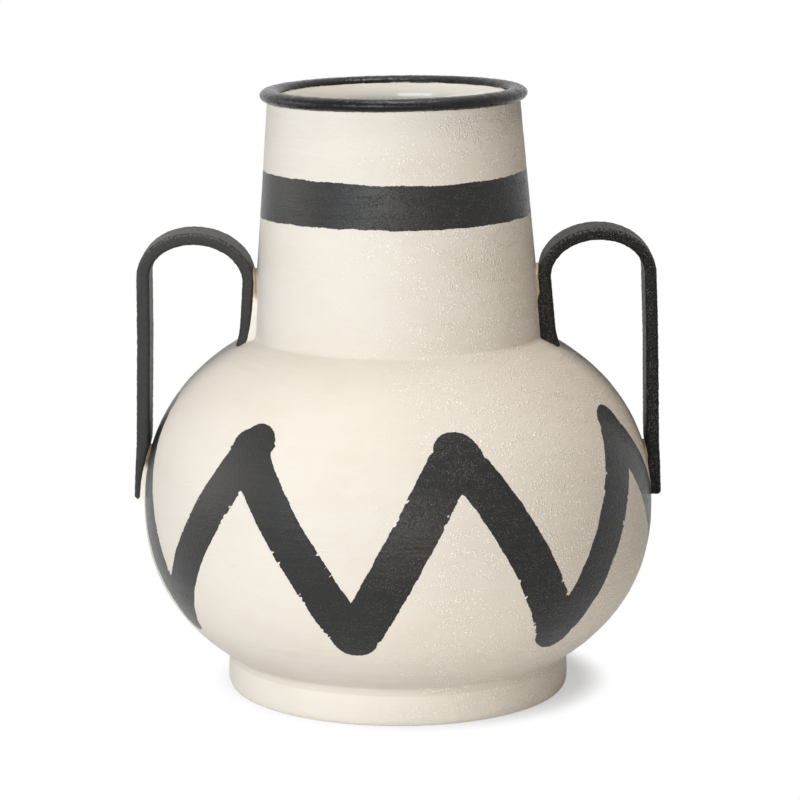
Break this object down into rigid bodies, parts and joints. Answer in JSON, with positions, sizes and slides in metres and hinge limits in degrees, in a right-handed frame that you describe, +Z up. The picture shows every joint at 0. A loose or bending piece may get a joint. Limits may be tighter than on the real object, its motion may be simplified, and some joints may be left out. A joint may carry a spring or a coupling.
{
  "type": "two-handled vase",
  "caption": "Large stoneware vase with a round belly on a low foot ring, a tall tapering neck with a rolled rim, and strap handles from neck to belly.",
  "frame": {"origin": "centre of the foot's underside, on the table", "axes": "+Z up along the thrown axis, +X to the right handle, -Y to the front seen in the picture"},
  "size_m": [0.4094, 0.3966, 0.47],
  "materials": {
    "raw_clay": "matt sandy cream slip",
    "black_slip": "dry satin black slip",
    "joining_slip": "matt bare tan slip",
    "liner_glaze": "gloss cream glaze"
  },
  "bodies": {
    "root": {"foot_ring": "raw_clay", "lower_belly": "raw_clay", "upper_belly": "raw_clay", "neck": "raw_clay", "rim_roll": "black_slip", "handle_left": "black_slip", "handle_right": "black_slip", "foot_slip_joint": "joining_slip", "belly_slip_joint": "joining_slip", "neck_slip_joint": "joining_slip", "rim_slip_joint": "joining_slip", "lute_left_neck": "joining_slip", "lute_left_belly": "joining_slip", "lute_right_neck": "joining_slip", "lute_right_belly": "joining_slip", "glaze_lining": "liner_glaze"}
  },
  "joints": []
}
